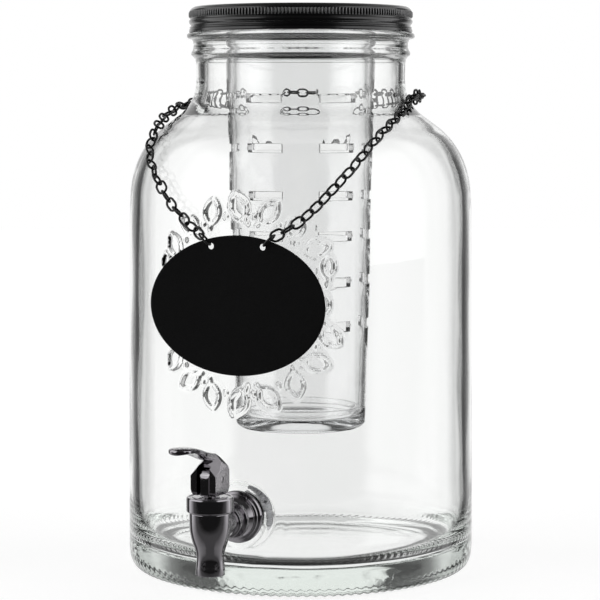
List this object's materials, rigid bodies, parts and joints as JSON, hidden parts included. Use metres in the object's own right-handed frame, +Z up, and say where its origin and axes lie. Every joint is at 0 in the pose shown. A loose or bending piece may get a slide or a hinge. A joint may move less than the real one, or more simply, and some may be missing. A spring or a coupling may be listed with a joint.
{
  "type": "beverage dispenser",
  "caption": "Wide-mouth glass jar dispenser with a black screw lid, hanging slotted infuser, lever tap and an oval chalkboard sign on a neck chain.",
  "frame": {"origin": "centre of the jar's resting face", "axes": "+Z up along the jar's axis; the tap and the sign face -Y; +X is on the right hand seen from the tap side"},
  "size_m": [0.2058, 0.286, 0.3315],
  "materials": {
    "clear_glass": "clear soda-lime glass, fire polished, faint green in thick sections",
    "clear_plastic": "clear moulded plastic, glossy",
    "gunmetal_plate": "polished black-nickel plate",
    "plain_steel": "plain steel",
    "black_rubber": "matte",
    "white_silicone": "matte",
    "liner_foam": "matte",
    "black_lid_paint": "satin black",
    "chalkboard_paint": "dead matte chalkboard black",
    "black_chain_wire": "gloss black"
  },
  "bodies": {
    "jar_assembly": {"glass_jar": "clear_glass", "spigot_body": "gunmetal_plate", "spigot_collar": "gunmetal_plate", "spigot_outer_washer": "black_rubber", "spigot_inner_washer": "black_rubber", "spigot_lock_nut": "plain_steel", "stem_seal": "black_rubber"},
    "infuser": {"infuser_tube": "clear_plastic", "infuser_base": "clear_plastic"},
    "liner": {"lid_liner": "liner_foam"},
    "lid": {"lid_shell": "black_lid_paint"},
    "chain": {"neck_chain": "black_chain_wire"},
    "sign": {"chalkboard_sign": "chalkboard_paint", "sign_ring_left": "black_chain_wire", "sign_ring_right": "black_chain_wire"},
    "valve": {"valve_seat_cup": "white_silicone", "return_spring": "plain_steel"},
    "stem": {"valve_stem": "gunmetal_plate", "lever_pin": "gunmetal_plate"},
    "lever": {"tap_lever": "gunmetal_plate"}
  },
  "joints": [
    {"name": "infuser_lift", "type": "slide", "parent": "jar_assembly", "child": "infuser", "axis": [0, 0, 1], "range_m": [0, 0.25]},
    {"name": "lid_thread_lift", "type": "slide", "parent": "infuser", "child": "liner", "axis": [0, 0, 1], "range_m": [0, 0.0072]},
    {"name": "lid_turn", "type": "hinge", "parent": "liner", "child": "lid", "pos_m": [0, 0, 0.3265], "axis": [0, 0, 1], "range_deg": [0, 400]},
    {"name": "sign_lift_off", "type": "slide", "parent": "jar_assembly", "child": "chain", "axis": [0, 0, 1], "range_m": [0, 0.22]},
    {"name": "sign_swing", "type": "hinge", "parent": "chain", "child": "sign", "pos_m": [0, -0.1053, 0.20147], "axis": [-1, 0, 0], "range_deg": [0, 45]},
    {"name": "valve_lift", "type": "slide", "parent": "jar_assembly", "child": "valve", "axis": [0, 0, 1], "range_m": [0, 0.00327], "deforming": ["return_spring"]},
    {"name": "lever_swivel", "type": "hinge", "parent": "valve", "child": "stem", "pos_m": [0, -0.146, 0.0745], "axis": [0, 0, 1], "continuous": true},
    {"name": "lever_press", "type": "hinge", "parent": "stem", "child": "lever", "pos_m": [0, -0.146, 0.0745], "axis": [0.9903, -0.1392, 0], "range_deg": [0, 25]}
  ],
  "couplings": [
    {"joint": "lid_thread_lift", "follows": "lid_turn", "m_per_rad": 0.0010106},
    {"joint": "lever_press", "follows": "valve_lift", "rad_per_m": 133.33}
  ]
}
